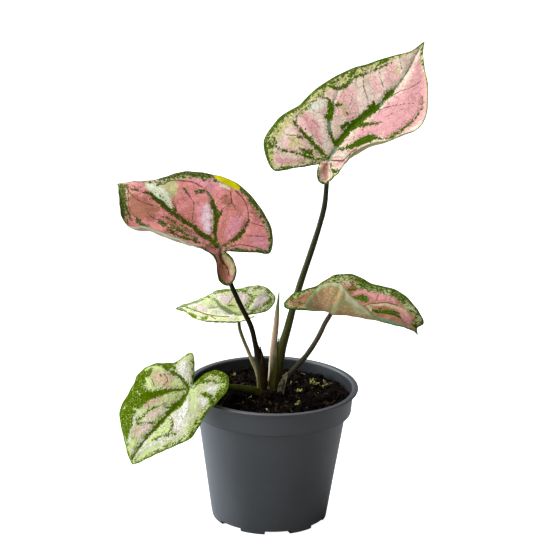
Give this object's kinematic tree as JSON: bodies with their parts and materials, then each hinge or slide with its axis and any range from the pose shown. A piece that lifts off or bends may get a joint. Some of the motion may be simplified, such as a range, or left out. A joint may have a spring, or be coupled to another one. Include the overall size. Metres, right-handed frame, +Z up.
{
  "type": "potted caladium plant",
  "caption": "Small foliage plant with heart-shaped pink, cream and green leaves on slender stalks, in a round dark plastic nursery pot of soil.",
  "frame": {"origin": "centre of the pot's flat base, on the plane that it stands on", "axes": "+Z up along the pot's axis, -Y towards the front of the plant, +X to the right seen from the front"},
  "size_m": [0.1878, 0.1146, 0.2972],
  "materials": {
    "pot_plastic": "satin moulded, finely speckled",
    "soil": "moist crumbly peat with pale grains",
    "tuber": "rough corky skin",
    "pink_blade": "satin leaf, pink with dark green veins and margin",
    "pale_blade": "satin leaf, cream and green with lilac-pink patches",
    "petiole": "satin, dark olive to near black, lengthwise streaks",
    "rolled_leaf": "satin, cream-pink with a green tip"
  },
  "bodies": {
    "root": {"pot": "pot_plastic", "soil": "soil", "tuber": "tuber", "blade_upper_left": "pink_blade", "blade_upper_right": "pink_blade", "blade_lower_right": "pink_blade", "blade_back_left": "pale_blade", "blade_lower_left": "pale_blade", "petiole_upper_left": "petiole", "petiole_upper_right": "petiole", "petiole_lower_right": "petiole", "petiole_back_left": "petiole", "petiole_lower_left": "petiole", "rolled_new_leaf": "rolled_leaf"}
  },
  "joints": []
}
